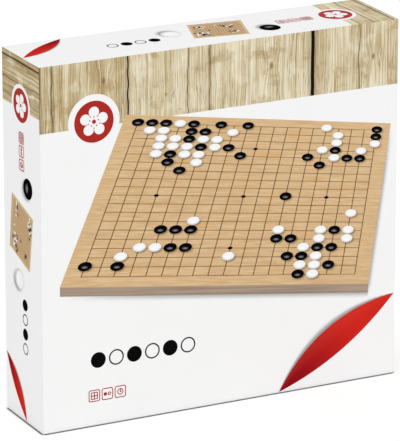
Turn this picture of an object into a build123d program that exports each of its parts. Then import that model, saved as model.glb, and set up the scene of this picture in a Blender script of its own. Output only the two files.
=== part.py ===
from build123d import *
import os
from math import cos, hypot, sin, sqrt, tau

# A weiqi set in a two-piece rigid box that stands on its long lower side. Millimetres, +Z up, the
# printed front faces -Y, and the origin is under the middle of the closed box. Sizes are set from
# the inside out: stones, tubs, board and booklet come first, and the box closes round them.

# Stones
STONE_DIAMETER = 13.4
STONE_HEIGHT = 5.0
STONE_GAP = 0.1
STONE_AIR = 0.04
STONE_WALL_GAP = 0.4
BLACK_COUNT = 181
WHITE_COUNT = 180
TOP_SIDES = 12
BURIED_SIDES = 8

# Tubs for the stones
TUB_BORE = 43.0
TUB_DEPTH = 41.0
TUB_WALL = 1.6
TUB_DRAFT = 0.7
FLOOR_FILLET = 1.6
FOOT_HEIGHT = 1.2
FOOT_WIDTH = 2.2
FOOT_INSET = 3.0
SHOULDER = 1.2
LID_PANEL = 1.4
LID_SKIRT = 10.0
LID_WALL = 1.4
LID_FIT = 0.3
LID_ROUND = 1.0
PLUG_HEIGHT = 2.4
PLUG_WALL = 1.2
STACK_RING = 0.8

# Playing board
BOARD_WIDTH = 286.0
BOARD_HEIGHT = 271.0
BOARD_THICKNESS = 10.0
VENEER = 0.6
VENEER_EASE = 0.3
EDGE_BAND = 2.0
BOARD_PLAY = 1.4
REST_GAP = 0.3

# Rules booklet
RULES_WIDTH = 148.0
RULES_HEIGHT = 210.0
RULES_SHEET = 0.18
RULES_AIR = 0.03
RULES_CENTRE_GAP = 0.4
RULES_INNER_SHEETS = 3
RULES_HEADROOM = 2.0
STAPLE_CROWN = 12.0
STAPLE_WIRE = 0.36
STAPLE_SPACING = 105.0

# Formed tray inside the base
SHEET = 0.8
INSERT_GAP = 0.5
INSERT_CORNER = 5.0
WELL_GAP = 0.5
WELL_LAND = 48.0
GRIP_HEIGHT = 17.0
SCOOP_RADIUS = 12.0
SCOOP_DEPTH = 18.0
DECK_ROUND = 3.0
MOUTH_ROUND = 1.8
LIP_ROUND = 4.0
BEAD_RADIUS = 4.0
BEAD_DEPTH = 3.0
BEAD_ROWS = 2
BEAD_PITCH = 26.0
BEAD_MARGIN = 38.0

# Rigid box
GREYBOARD = 2.0
WRAP = 0.3
EDGE_RADIUS = 0.9
LID_TURN_IN = 15.0
BASE_TURN_IN = 12.0
STAY = 0.12
STAY_LEG = 14.0
STAY_END_GAP = 1.0
SLIDE_GAP = 0.4
RIM_GAP = 0.3
BASE_REVEAL = 1.0

# Heights in a tub, measured from its foot towards the front of the box
TUB_FLOOR = FOOT_HEIGHT + TUB_WALL
TUB_RIM = TUB_FLOOR + TUB_DEPTH
TUB_HEIGHT = TUB_RIM + LID_PANEL + STACK_RING
TUB_OUTER = TUB_BORE + TUB_DRAFT + TUB_WALL
TUB_LID_OUTER = TUB_OUTER + LID_FIT + LID_WALL
FOOT_OUTER = TUB_BORE - FOOT_INSET

# The box that closes round the board, the tubs and the booklet
RULES_LEAVES = (RULES_INNER_SHEETS + 1) * RULES_SHEET + RULES_INNER_SHEETS * RULES_AIR
RULES_THICKNESS = 2 * RULES_LEAVES + RULES_CENTRE_GAP
SKIN = GREYBOARD + WRAP
TURNED_WALL = SKIN + WRAP
BASE_INSET = TURNED_WALL + SLIDE_GAP
CONTENTS_DEPTH = SHEET + TUB_HEIGHT + REST_GAP + BOARD_THICKNESS + REST_GAP + RULES_THICKNESS
BOX_WIDTH = BOARD_WIDTH + 2 * (BOARD_PLAY + TURNED_WALL + BASE_INSET)
BOX_HEIGHT = BOARD_HEIGHT + 2 * (BOARD_PLAY + TURNED_WALL + BASE_INSET)
BOX_DEPTH = 2 * SKIN + CONTENTS_DEPTH + RULES_HEADROOM

# Places, from the base's floor towards the printed front
MID_Z = BOX_HEIGHT / 2
BACK_Y = BOX_DEPTH / 2
FRONT_Y = -BACK_Y
BASE_FLOOR_Y = BACK_Y - SKIN
TUB_FOOT_Y = BASE_FLOOR_Y - SHEET
DECK_Y = TUB_FOOT_Y - TUB_HEIGHT + GRIP_HEIGHT
BOARD_BACK_Y = TUB_FOOT_Y - TUB_HEIGHT - REST_GAP
BOARD_FRONT_Y = BOARD_BACK_Y - BOARD_THICKNESS
RULES_Y = BOARD_FRONT_Y - REST_GAP - RULES_THICKNESS / 2
LID_INSIDE_Y = FRONT_Y + SKIN
BASE_RIM_Y = LID_INSIDE_Y + RIM_GAP
LID_RIM_Y = BACK_Y - BASE_REVEAL
INNER_WIDTH = BOARD_WIDTH + 2 * BOARD_PLAY
INNER_HEIGHT = BOARD_HEIGHT + 2 * BOARD_PLAY
SEAT_Z = MID_Z - INNER_HEIGHT / 2 + REST_GAP


def block(width, height, y_from, y_to, z_mid=MID_Z, x_mid=0.0):
    """A plain block of this width and height between two depths."""
    return Pos(x_mid, (y_from + y_to) / 2, z_mid) * Box(width, abs(y_to - y_from), height)


def rounded_block(width, height, y_closed, y_rim, radius):
    """A block whose closed face and long corners are rounded, with a sharp rim."""
    solid = block(width, height, y_closed, y_rim)
    closed = solid.faces().sort_by(Axis.Y)[0 if y_closed < y_rim else -1]
    return fillet(closed.edges() + solid.edges().filter_by(Axis.Y), radius)


def lathe(*points):
    """Turns a closed outline of (radius, height) points round the Z axis."""
    outline = Plane.XZ * Polyline(*points, close=True)
    return revolve(make_face(outline), Axis.Z)


def round_ring(solid, ring_radius, height, radius):
    """Rounds the circular edge of this radius at this height."""

    def on_ring(edge):
        return abs(edge.radius - ring_radius) < 0.01 and abs(edge.arc_center.Z - height) < 0.01

    return fillet(solid.edges().filter_by(GeomType.CIRCLE).filter_by(on_ring), radius)


def at_tub(shape, colour, height=0.0):
    """Stands a form drawn along +Z at a tub's place, pointing to the front of the box."""
    x = TUB_PLACES[colour]
    return Location((x, TUB_FOOT_Y - height, MID_Z), (90, 0, 0)) * shape


def tub_bore(height):
    """Inner radius of a tub at a height above its foot: it widens towards the rim."""
    return TUB_BORE + TUB_DRAFT * (height - TUB_FLOOR) / TUB_DEPTH


WELL_RADIUS = tub_bore(TUB_HEIGHT - GRIP_HEIGHT) + TUB_WALL + WELL_GAP
TUB_PLACES = {"black": -WELL_RADIUS - WELL_LAND / 2, "white": WELL_RADIUS + WELL_LAND / 2}


def rigid_tray(width, height, y_closed, y_rim, turn_in):
    """One half of the rigid box: its greyboard tray, corner stays and paper wrap."""
    inward = 1 if y_rim > y_closed else -1

    def form(inset):
        closed, rim = y_closed + inward * inset, y_rim - inward * WRAP
        return rounded_block(width - 2 * inset, height - 2 * inset, closed, rim, EDGE_RADIUS - inset)

    def hollow(inset, y_from, y_to):
        return block(width - 2 * inset, height - 2 * inset, y_from, y_to)

    y_inside = y_closed + inward * SKIN
    y_beyond = y_rim + inward
    y_turned = y_rim - inward * turn_in
    core = form(WRAP)
    greyboard = core - hollow(SKIN, y_inside, y_beyond)

    taped = form(WRAP - STAY)
    tape_from = y_closed + inward * (EDGE_RADIUS + STAY_END_GAP)
    tape_to = y_rim - inward * (WRAP + STAY_END_GAP)
    stays = []
    for side in (-1, 1):
        for end in (-1, 1):
            x, z = side * width / 2, MID_Z + end * height / 2
            corner = block(2 * STAY_LEG, 2 * STAY_LEG, tape_from, tape_to, z, x)
            stays.append(((taped & corner) - core).solid())

    outside = rounded_block(width, height, y_closed, y_rim, EDGE_RADIUS)
    mouth = hollow(TURNED_WALL, y_turned, y_beyond)
    wrap = outside - hollow(SKIN, y_inside, y_turned) - mouth - greyboard - stays
    return greyboard.solid(), stays, wrap.solid()


def well_pocket(skin):
    """A well and its two finger scoops, drawn up from the well's floor and set out by skin."""
    upward = (Align.CENTER, Align.CENTER, Align.MIN)
    foot, depth = TUB_BORE + TUB_WALL + WELL_GAP, TUB_HEIGHT - GRIP_HEIGHT
    slope = (WELL_RADIUS - foot) / depth
    top = depth + MOUTH_ROUND + LIP_ROUND
    mouth = foot + skin + slope * (top + skin)
    pocket = Pos(0, 0, -skin) * Cone(foot + skin, mouth, top + skin, align=upward)
    pocket = fillet(pocket.edges().sort_by(Axis.Z)[0], FLOOR_FILLET + WELL_GAP + skin)
    tip = depth - SCOOP_DEPTH + SCOOP_RADIUS
    scoop = Cylinder(SCOOP_RADIUS + skin, top - tip, align=upward) + Sphere(SCOOP_RADIUS + skin)
    for side in (-1, 1):
        pocket += Pos(side * WELL_RADIUS, 0, tip) * scoop
    return fillet(pocket.edges().filter_by(GeomType.BSPLINE), LIP_ROUND - skin)


def stiffening_bead(skin):
    """A round-ended rod across the tray that presses a bead into its deck, set out by skin."""
    reach = INNER_WIDTH / 2 - BEAD_MARGIN
    tip = Sphere(BEAD_RADIUS + skin)
    rod = Rot(0, 90, 0) * Cylinder(BEAD_RADIUS + skin, 2 * reach)
    return rod + Pos(-reach, 0, 0) * tip + Pos(reach, 0, 0) * tip


def insert_tray():
    """Vacuum-formed tray: a deck with a skirt, two wells with finger scoops, stiffening beads."""
    width, height = INNER_WIDTH - 2 * INSERT_GAP, INNER_HEIGHT - 2 * INSERT_GAP

    def mould(skin):
        """The form under the sheet's upper side, or under its lower side a skin further in."""
        deck = DECK_Y + skin
        form = block(width - 2 * skin, height - 2 * skin, deck, BASE_FLOOR_Y)
        form = fillet(form.edges().filter_by(Axis.Y), INSERT_CORNER - skin)
        form = fillet(form.faces().sort_by(Axis.Y)[0].edges(), DECK_ROUND - skin)
        pocket, bead = well_pocket(skin), stiffening_bead(skin)
        for colour in TUB_PLACES:
            form -= at_tub(pocket, colour)
        for side in (-1, 1):
            for row in range(1, BEAD_ROWS + 1):
                z = MID_Z + side * (WELL_RADIUS + row * BEAD_PITCH)
                form -= Pos(0, DECK_Y + BEAD_DEPTH - BEAD_RADIUS, z) * bead
        face = form.faces().filter_by(GeomType.PLANE).sort_by(Axis.Y)[0]
        mouths = [edge for wire in face.inner_wires() for edge in wire.edges()]
        return fillet(mouths, MOUTH_ROUND - skin)

    return (mould(0) - mould(SHEET)).solid()


def tub():
    """Moulded tub: foot ring, drafted wall with a rounded floor, and a shoulder under the lid."""
    seat = TUB_RIM - LID_SKIRT - LID_FIT
    wall_at_seat = tub_bore(seat - SHOULDER) + TUB_WALL
    solid = lathe(
        (0, FOOT_HEIGHT),
        (FOOT_OUTER - FOOT_WIDTH, FOOT_HEIGHT),
        (FOOT_OUTER - FOOT_WIDTH, 0),
        (FOOT_OUTER, 0),
        (FOOT_OUTER, FOOT_HEIGHT),
        (TUB_BORE + TUB_WALL, FOOT_HEIGHT),
        (wall_at_seat, seat - SHOULDER),
        (TUB_LID_OUTER, seat - SHOULDER),
        (TUB_LID_OUTER, seat),
        (TUB_OUTER, seat),
        (TUB_OUTER, TUB_RIM),
        (tub_bore(TUB_RIM), TUB_RIM),
        (TUB_BORE, TUB_FLOOR),
        (0, TUB_FLOOR),
    )
    solid = round_ring(solid, TUB_BORE, TUB_FLOOR, FLOOR_FILLET)
    return round_ring(solid, TUB_BORE + TUB_WALL, FOOT_HEIGHT, FLOOR_FILLET).solid()


def tub_lid():
    """Slip-over lid: skirt outside the rim, plug ring inside it, stacking ring on top."""
    top = TUB_RIM + LID_PANEL
    plug = tub_bore(TUB_RIM) - LID_FIT
    ring = FOOT_OUTER + LID_FIT
    solid = lathe(
        (0, TUB_RIM),
        (plug - PLUG_WALL, TUB_RIM),
        (plug - PLUG_WALL, TUB_RIM - PLUG_HEIGHT),
        (plug, TUB_RIM - PLUG_HEIGHT),
        (plug, TUB_RIM),
        (TUB_OUTER + LID_FIT, TUB_RIM),
        (TUB_OUTER + LID_FIT, TUB_RIM - LID_SKIRT),
        (TUB_LID_OUTER, TUB_RIM - LID_SKIRT),
        (TUB_LID_OUTER, top),
        (ring + FOOT_WIDTH, top),
        (ring + FOOT_WIDTH, top + STACK_RING),
        (ring, top + STACK_RING),
        (ring, top),
        (0, top),
    )
    return round_ring(solid, TUB_LID_OUTER, top, LID_ROUND).solid()


def lens_height(radius):
    """Half the thickness of a stone at a distance from its middle: both faces are round caps."""
    half = STONE_HEIGHT / 2
    cap = (STONE_DIAMETER**2 / 4 + half**2) / (2 * half)
    return sqrt(cap**2 - radius**2) - (cap - half)


def stone(sides, rings):
    """A stone cut to flat facets that stay inside its round form: sides round it, rings up it."""
    radii = [STONE_DIAMETER / 2 * (1 - ring / (rings + 1)) for ring in range(rings + 1)]

    def rim(radius, up):
        height = up * lens_height(radius)
        turns = [tau * side / sides for side in range(sides)]
        return [(radius * cos(turn), radius * sin(turn), height) for turn in turns]

    facets = []
    for up in (-1, 1):
        loops = [rim(radius, up) for radius in radii]
        tip = (0, 0, up * STONE_HEIGHT / 2)
        for side in range(sides):
            after = (side + 1) % sides
            for outer, inner in zip(loops, loops[1:]):
                facets.append([outer[side], outer[after], inner[after], inner[side]])
            facets.append([loops[-1][side], loops[-1][after], tip])
    faces = [Face(Wire.make_polygon(facet)) for facet in facets]
    return Solid(Shell(faces))


def stone_places():
    """Every seat for a stone in a tub, layer on layer: close rows, each stone on one below."""
    pitch = STONE_DIAMETER + STONE_GAP
    row_step = pitch * sqrt(3) / 2
    reach = TUB_BORE - STONE_DIAMETER / 2 - STONE_WALL_GAP
    spread = range(-int(reach // row_step), int(reach // row_step) + 1)
    height = TUB_FLOOR + STONE_HEIGHT / 2 + STONE_AIR
    layer = 0
    while height + STONE_HEIGHT / 2 < TUB_RIM - PLUG_HEIGHT:
        for row in spread:
            shift = pitch / 2 if row % 2 else 0
            for column in spread:
                x, y = pitch * column + shift, row_step * row
                if hypot(x, y) <= reach:
                    yield layer, x, y, height
        height += STONE_HEIGHT + STONE_AIR
        layer += 1


def stones(colour, count):
    """The stones of one tub, those in the top layer with more facets than the buried ones."""
    seats = list(stone_places())[:count]
    top_layer = seats[-1][0]
    shown, buried = stone(TOP_SIDES, 1), stone(BURIED_SIDES, 0)
    return [
        at_tub(Pos(x, y, 0) * (shown if layer == top_layer else buried), colour, height)
        for layer, x, y, height in seats
    ]


def playing_board():
    """Core with a veneer on each face and four edge strips mitred at the corners."""
    z = SEAT_Z + BOARD_HEIGHT / 2
    core_front, core_back = BOARD_FRONT_Y + VENEER, BOARD_BACK_Y - VENEER
    core = block(BOARD_WIDTH - 2 * EDGE_BAND, BOARD_HEIGHT - 2 * EDGE_BAND, core_front, core_back, z)
    top = block(BOARD_WIDTH, BOARD_HEIGHT, BOARD_FRONT_Y, core_front, z)
    bottom = block(BOARD_WIDTH, BOARD_HEIGHT, core_back, BOARD_BACK_Y, z)
    top = fillet(top.faces().sort_by(Axis.Y)[0].edges(), VENEER_EASE)
    bottom = fillet(bottom.faces().sort_by(Axis.Y)[-1].edges(), VENEER_EASE)
    return core, top.solid(), bottom.solid(), edge_strips(z, core_front, core_back)


def edge_strips(z_mid, y_from, y_to):
    """The four mitred strips round the board's core."""
    strips = []
    for length, reach, turn in (
        (BOARD_WIDTH, BOARD_HEIGHT, 0),
        (BOARD_HEIGHT, BOARD_WIDTH, 90),
        (BOARD_WIDTH, BOARD_HEIGHT, 180),
        (BOARD_HEIGHT, BOARD_WIDTH, 270),
    ):
        outer, inner = length / 2, length / 2 - EDGE_BAND
        near, far = reach / 2 - EDGE_BAND, reach / 2
        outline = Polyline((-outer, far), (outer, far), (inner, near), (-inner, near), close=True)
        strip = extrude(make_face(Rot(0, 0, turn) * outline), y_to - y_from)
        strips.append((Location((0, y_to, z_mid), (90, 0, 0)) * strip).solid())
    return strips


def folded_sheet(outer_half):
    """A sheet folded once round the spine at -X, standing in the booklet's place."""
    z = SEAT_Z + RULES_HEIGHT / 2
    spine, edge = -RULES_WIDTH / 2 + RULES_THICKNESS / 2, RULES_WIDTH / 2

    def filled(half, beyond):
        leaf = Pos((spine + edge + beyond) / 2, 0, 0) * Box(edge + beyond - spine, 2 * half, RULES_HEIGHT)
        return leaf + Pos(spine, 0, 0) * Cylinder(half, RULES_HEIGHT)

    sheet = filled(outer_half, 0) - filled(outer_half - RULES_SHEET, 1)
    return Pos(0, RULES_Y, z) * sheet


def staples():
    """Two wire staples: crown outside the spine, legs through the fold, ends turned in."""
    spine = -RULES_WIDTH / 2
    fold = spine + RULES_LEAVES
    leg = (STAPLE_CROWN - STAPLE_WIRE) / 2
    out = []
    for side in (-1, 1):
        z = SEAT_Z + RULES_HEIGHT / 2 + side * STAPLE_SPACING / 2
        wire = Pos(spine - STAPLE_WIRE / 2, RULES_Y, z) * Box(STAPLE_WIRE, STAPLE_WIRE, STAPLE_CROWN)
        for end in (-1, 1):
            reach = RULES_LEAVES + STAPLE_WIRE
            wire += Pos(spine + reach / 2, RULES_Y, z + end * leg) * Box(reach, STAPLE_WIRE, STAPLE_WIRE)
            turned = STAPLE_CROWN / 3
            at = Pos(fold + STAPLE_WIRE / 2, RULES_Y, z + end * (STAPLE_CROWN - turned) / 2)
            wire += at * Box(STAPLE_WIRE, STAPLE_WIRE, turned)
        out.append(wire.solid())
    return out


def booklet():
    """Cover, inner sheets and staples of the saddle-stitched rules."""
    wires = staples()
    step = RULES_SHEET + RULES_AIR
    sheets = [folded_sheet(RULES_THICKNESS / 2 - step * n) for n in range(RULES_INNER_SHEETS + 1)]
    sheets = [(sheet - wires).solid() for sheet in sheets]
    return sheets[0], sheets[1:], wires


def parts():
    """Every node of the set with its solids."""
    lid = rigid_tray(BOX_WIDTH, BOX_HEIGHT, FRONT_Y, LID_RIM_Y, LID_TURN_IN)
    base_width, base_height = BOX_WIDTH - 2 * BASE_INSET, BOX_HEIGHT - 2 * BASE_INSET
    base = rigid_tray(base_width, base_height, BACK_Y, BASE_RIM_Y, BASE_TURN_IN)
    core, top_veneer, bottom_veneer, strips = playing_board()
    cover, pages, wires = booklet()
    nodes = {
        "lid_board": [lid[0]],
        "lid_corner_stays": lid[1],
        "lid_wrap": [lid[2]],
        "base_board": [base[0]],
        "base_corner_stays": base[1],
        "base_wrap": [base[2]],
        "insert_tray": [insert_tray()],
        "board_core": [core],
        "board_top_veneer": [top_veneer],
        "board_bottom_veneer": [bottom_veneer],
        "board_edge_strips": strips,
        "rules_cover": [cover],
        "rules_pages": pages,
        "rules_staples": wires,
    }
    for colour, count in (("black", BLACK_COUNT), ("white", WHITE_COUNT)):
        nodes[f"{colour}_tub"] = [at_tub(tub(), colour)]
        nodes[f"{colour}_tub_lid"] = [at_tub(tub_lid(), colour)]
        nodes[f"{colour}_stones"] = stones(colour, count)
    return nodes


os.makedirs("parts", exist_ok=True)
for name, solids in parts().items():
    shape = solids[0] if len(solids) == 1 else Compound(children=solids)
    shape.label = name
    export_step(shape, f"parts/{name}.step")
print("closed box", round(BOX_WIDTH, 2), round(BOX_DEPTH, 2), round(BOX_HEIGHT, 2))
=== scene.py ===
# Looks of a weiqi set: the printed rigid box as it stands in the photograph, and inside it the
# ruled board, the rules booklet, two lidded tubs of stones and the formed tray.
import math
import random
from functools import cached_property

import bmesh
import bpy
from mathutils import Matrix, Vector


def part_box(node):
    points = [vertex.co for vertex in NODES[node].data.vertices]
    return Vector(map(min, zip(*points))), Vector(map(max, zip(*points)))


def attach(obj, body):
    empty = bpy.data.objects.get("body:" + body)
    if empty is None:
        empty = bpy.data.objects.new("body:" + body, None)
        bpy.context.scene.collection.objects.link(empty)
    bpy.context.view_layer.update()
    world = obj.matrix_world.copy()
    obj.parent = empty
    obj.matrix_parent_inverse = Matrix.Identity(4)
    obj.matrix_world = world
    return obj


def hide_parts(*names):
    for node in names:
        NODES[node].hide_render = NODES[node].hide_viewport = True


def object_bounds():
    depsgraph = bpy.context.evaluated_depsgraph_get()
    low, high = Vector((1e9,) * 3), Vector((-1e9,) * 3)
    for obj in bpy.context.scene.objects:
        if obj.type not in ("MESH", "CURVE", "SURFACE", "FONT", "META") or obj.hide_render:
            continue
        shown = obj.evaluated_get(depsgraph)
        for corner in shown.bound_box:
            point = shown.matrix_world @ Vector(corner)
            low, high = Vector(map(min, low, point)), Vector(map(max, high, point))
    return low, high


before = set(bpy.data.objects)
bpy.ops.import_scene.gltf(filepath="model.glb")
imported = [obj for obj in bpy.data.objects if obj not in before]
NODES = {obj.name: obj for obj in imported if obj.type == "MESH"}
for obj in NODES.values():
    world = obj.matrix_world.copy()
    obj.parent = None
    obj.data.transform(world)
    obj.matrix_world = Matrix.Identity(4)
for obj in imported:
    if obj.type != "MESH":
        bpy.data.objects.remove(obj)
cad_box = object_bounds()

MM = 0.001

# Print layers, in mm over the paper, which is drawn in by the ink room so that they fit the box
INK_ROOM = 0.15
GROUND_LAYER = 0.02
SHADE_LAYER = 0.035
FACE_LAYER = 0.05
LINE_LAYER = 0.07
CROSS_LAYER = 0.08
STONE_SHADE_LAYER = 0.1
STONE_LAYER = 0.125

# The lid's rounded edges in mm, how near a point lies to them to be on the lid's outside, and the
# least angle in degrees that stays a sharp edge
LID_ROUND = 0.9
ON_SKIN = 0.05
SHARP_EDGE = 32.0

# How far below a side's plane its print still runs, and where the painted shade along the rounded
# edges fades in and out
CORNER_BLEND = 0.26
FOLD_START = (-0.02, -0.14)
FOLD_END = (-0.5, -0.32)
FOLD_SHADE_SHARE = 0.16

# The sheet's corners: how wide the glued ear is, and how far its flap's cut edge is set back
LAP_WIDTH = 12.0
LAP_SETBACK = 0.7

# The wood bands, one along the front's top and one at an end of each narrow side
FRONT_BAND = 50.8
STRIP_BAND = 40.0
BAND_EDGE = 0.2

# The planks in one row: the front's own from 0 on, and the narrow sides' ends further along.
# Gaps have a place, width and sway, knots two places and a size, tones a start and a change.
# On the two upright narrow sides the planks are darker by this much painted shade, standing in for the
# sides' shading.
STRIP_SHIFT = 400.0
STRIP_APART = 90.0
PLANK_GAPS = (
    (0.0, 0.9, 0.3), (10.5, 0.35, 2.4), (72.0, 1.0, 3.2), (121.0, 0.3, 4.0), (139.5, 0.35, 2.0),
    (226.0, 2.8, 0.7), (266.0, 0.3, 3.0),
    (STRIP_SHIFT + 4.2, 0.8, 0.3), (STRIP_SHIFT + 21.0, 0.3, 3.0),
)
KNOTS = (
    (52.0, 268.0, 3.4), (103.0, 251.0, 2.2), (191.0, 262.0, 3.0), (278.0, 258.0, 2.6),
    (STRIP_SHIFT + 30.0, 47.0, 2.4),
)
PLANK_TONES = ((-10.0, -0.012), (72.0, 0.05), (226.0, -0.011), (STRIP_SHIFT, -0.012))
SIDE_SHADE = 0.06

# The real board: its margin, lines and stars are shares of its side
BOARD_LINES = 19
BOARD_MARGIN = 0.04
BOARD_LINE = 0.0022
BOARD_STAR = 0.0062
STAR_LINES_APART = 12

# Drawn boards: stars and stones are shares of the space between two lines
STAR_SHARE = 0.17
STONE_SHARE = 0.43
STRIP_STONE_SHARE = 0.49
STONE_ROUNDNESS = 1.14

# Drawn shadows: at which share of their reach they are gone and full, and how dark full is. The
# front's board and the red bands start theirs at their own share, and the board's falls two ways.
SHADE_FADE = (1.0, 0.45)
SHADE_FULL = 0.42
PICTURE_SHADE = 0.6
RED_SHADE = 0.4
SHADOW_BELOW = (0.0, -5.0)
SHADOW_BESIDE = (4.0, -1.5)

# The red corner bands: how far inside the corner they lie, and how much higher their shadow rises
RED_INSET = 0.8
RED_SHADOW = 1.35

# The front's board: its near left, near right, far right and far left corner from the panel's
# lower left, the height of its edge, and its margin and lines as shares of its side
PICTURE_CORNERS = ((15.0, 114.0), (276.0, 77.0), (294.0, 203.0), (70.0, 240.0))
PICTURE_STEPS = 16
PICTURE_EDGE = 7.2
PICTURE_MARGIN = 0.052
PICTURE_LINE = 0.003
PICTURE_STONES = 78
PICTURE_SEED = 11

# The front's other print: the seal, the row of discs, the signs and the red corner band
PETALS = 5
FRONT_SEAL_AT = (44.0, 238.0)
FRONT_SEAL_SIZE = 32.0
FRONT_CLEARING = 42.0
FRONT_ROW_AT = (46.0, 52.0)
FRONT_ROW = {"count": 6, "pitch": 15.0, "size": 12.4, "line": 1.1}
FRONT_SIGNS_AT = (42.5, 24.0)
FRONT_SIGNS = {"size": 9.5, "pitch": 10.8, "line": 0.75}
FRONT_RED_START = 199.0
FRONT_RED = {"top": 66.0, "rise": 15.0, "dip": 8.0}

# A narrow side's print: places run along it from its wood end, and up from its middle line.
# Its single stones have a place and a tone, 0 black and 1 white, and are drawn in their own unit.
STRIP_SEAL_AT = STRIP_BAND - 3.0
STRIP_SEAL_SIZE = 26.0
STRIP_CLEARING = 32.0
STRIP_SIGNS_AT = 62.0
STRIP_SIGNS = {"size": 9.0, "pitch": 10.4, "line": 0.95}
STRIP_SINGLES = ((98.5, 9.0, 0), (173.5, -8.0, 1))
SINGLE_SIZE = 16.0
SINGLE_UNIT = 100.0
STRIP_CORNERS = ((109.0, -17.0), (152.0, -22.0), (163.0, 12.0), (120.0, 19.0))
STRIP_STEPS = 6
STRIP_EDGE = 1.1
STRIP_MARGIN = 0.06
STRIP_LINE = 0.006
STRIP_STONES = 46
STRIP_SEED = 20
STRIP_ROW_AT = (191.5, 3.0)
STRIP_ROW = {"count": 4, "pitch": 11.5, "size": 9.0, "line": 0.9}
STRIP_RED_REACH = 47.0
STRIP_RED = {"top": 36.0, "rise": 7.0, "dip": 4.0}

# The booklet's cover: heights are shares of its own, and foot lines have a width and a place
COVER_ROW = {"count": 5, "pitch": 18.0, "size": 15.0, "line": 1.2}
COVER_ROW_HEIGHT = 0.72
COVER_FOOT_HEIGHT = 0.12
COVER_FOOT_LINES = ((3.2, 0.0), (0.7, 4.5))
COVER_LEFT = 18.0
COVER_RIGHT = 14.0

# The real stones lie askew by up to this many degrees
STONE_TILT = 5.0
BLACK_SEED = 3
WHITE_SEED = 4

# The photograph's view: angles in degrees, distances in metres, lens, sensor and aim in mm
CAMERA_AZIMUTH = -26.87
CAMERA_ELEVATION = 18.0
CAMERA_DISTANCE = 3.151
CAMERA_LENS = 339.4
CAMERA_SENSOR = 36.0
CAMERA_CLIP = (0.05, 60.0)
AIM_RIGHT = -1.81
AIM_UP = -5.29

# The room, in metres: the crease under the box is painted dark on the floor, a painted contact shadow,
# and the open floor glows in direct view
FLOOR_REACH = 14.0
FLOOR_PAINTED_SHADE = (0.3, 0.3, 0.3, 1.0)
FLOOR_WHITE = (0.97, 0.97, 0.97, 1.0)
FLOOR_GLOW = 1.12
GLOW_SHARE = 0.5
CREASE_REACH = 0.0033
CREASE_SHADE = (0.5, 0.92)
SKY_STRENGTH = 0.775
SUN_STRENGTH = 0.82
SUN_SPREAD = 70.0
SUN_FROM = (-0.236, -0.567, 0.789)
BLACK = (0.0, 0.0, 0.0, 1.0)
WHITE = (1.0, 1.0, 1.0, 1.0)


# Nodes written as expressions

class Term:
    """One output of a node. Arithmetic on it adds Math nodes, and [name] picks another output."""

    def __init__(self, graph, socket):
        self.graph, self.socket = graph, socket

    def __getitem__(self, name):
        return Term(self.graph, self.socket.node.outputs[name])

    def __add__(self, other):
        return self.graph.math("ADD", self, other)

    def __sub__(self, other):
        return self.graph.math("SUBTRACT", self, other)

    def __rsub__(self, other):
        return self.graph.math("SUBTRACT", other, self)

    def __mul__(self, other):
        return self.graph.math("MULTIPLY", self, other)

    def __truediv__(self, other):
        return self.graph.math("DIVIDE", self, other)

    def __rtruediv__(self, other):
        return self.graph.math("DIVIDE", other, self)

    def __pow__(self, other):
        return self.graph.math("POWER", self, other)

    def __lt__(self, other):
        return self.graph.math("LESS_THAN", self, other)

    def __gt__(self, other):
        return self.graph.math("GREATER_THAN", self, other)

    def __abs__(self):
        return self.graph.math("ABSOLUTE", self)

    __radd__ = __add__
    __rmul__ = __mul__


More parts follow.
